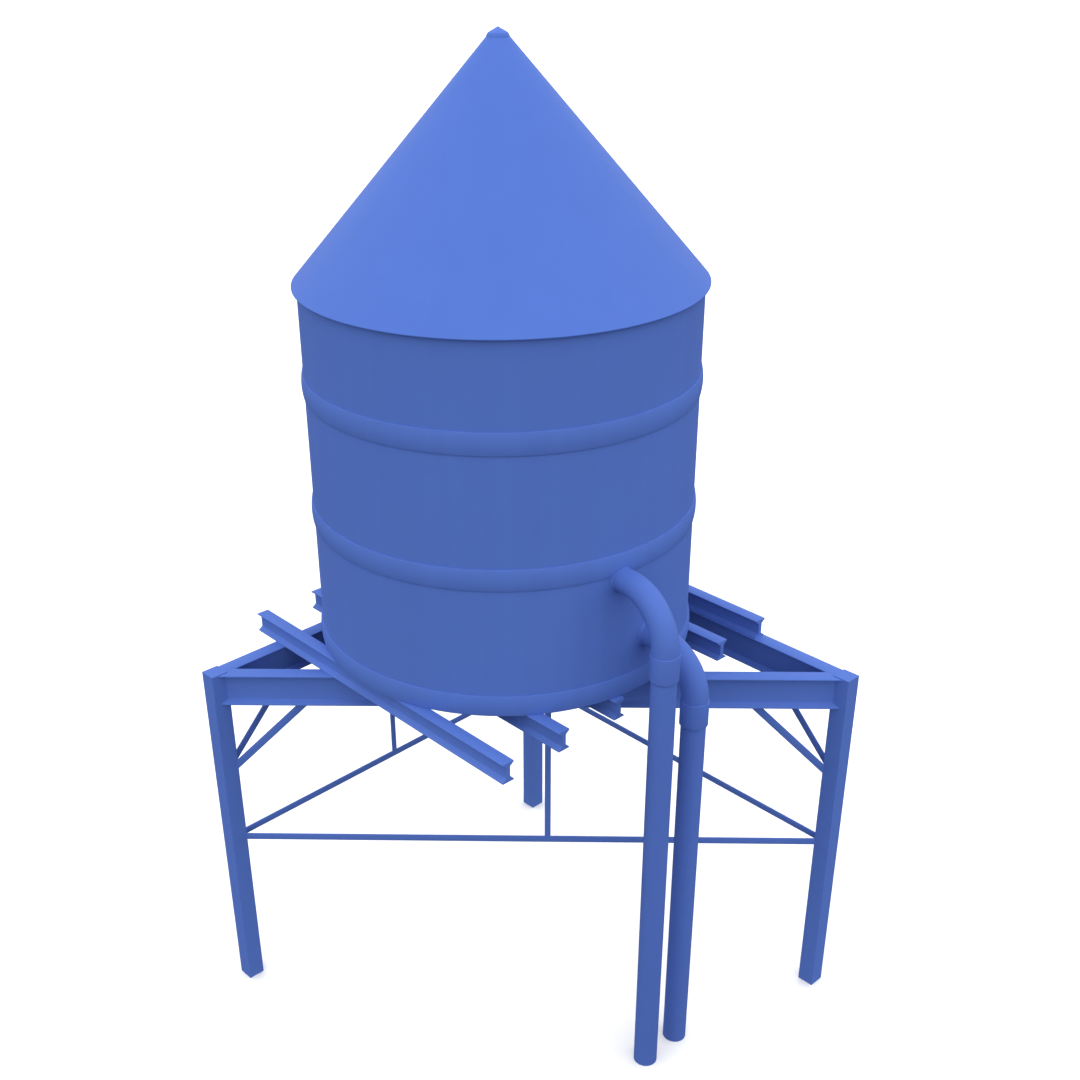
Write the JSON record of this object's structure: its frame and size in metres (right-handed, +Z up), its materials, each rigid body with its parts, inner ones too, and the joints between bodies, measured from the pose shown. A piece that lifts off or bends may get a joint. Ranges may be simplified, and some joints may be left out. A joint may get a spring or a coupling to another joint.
{
  "type": "water tower",
  "caption": "Round steel water tank with a cone roof and hoops, carried on joists by a braced trestle, with downpipes to the ground.",
  "frame": {"origin": "on the ground, at the middle of the plan's bounding box", "axes": "+Z up, +X along the front beam from the left post to the right post, +Y back towards the third post"},
  "size_m": [6.4112, 5.3699, 9.645],
  "materials": {
    "roof_paint": "satin",
    "tank_paint": "satin",
    "steel_paint": "satin",
    "pipe_paint": "satin"
  },
  "bodies": {
    "root": {"roof_cone": "roof_paint", "roof_cap": "roof_paint", "tank_wall_1": "tank_paint", "tank_wall_2": "tank_paint", "tank_wall_3": "tank_paint", "tank_wall_4": "tank_paint", "tank_wall_5": "tank_paint", "tank_wall_6": "tank_paint", "tank_wall_7": "tank_paint", "tank_wall_8": "tank_paint", "tank_floor": "tank_paint", "band_lower": "tank_paint", "band_middle": "tank_paint", "band_upper": "tank_paint", "post_left": "steel_paint", "post_right": "steel_paint", "post_back": "steel_paint", "beam_front": "steel_paint", "beam_left": "steel_paint", "beam_right": "steel_paint", "joist_1": "steel_paint", "joist_2": "steel_paint", "joist_3": "steel_paint", "joist_4": "steel_paint", "joist_5": "steel_paint", "joist_6": "steel_paint", "tie_front": "steel_paint", "tie_left": "steel_paint", "tie_right": "steel_paint", "hanger_front": "steel_paint", "hanger_left": "steel_paint", "hanger_right": "steel_paint", "knee_front_left": "steel_paint", "knee_front_right": "steel_paint", "knee_left_left": "steel_paint", "knee_left_back": "steel_paint", "knee_right_right": "steel_paint", "knee_right_back": "steel_paint", "downpipe_a_bend": "pipe_paint", "downpipe_a_coupling": "pipe_paint", "downpipe_a_pipe": "pipe_paint", "downpipe_b_bend": "pipe_paint", "downpipe_b_coupling": "pipe_paint", "downpipe_b_pipe": "pipe_paint"}
  },
  "joints": []
}
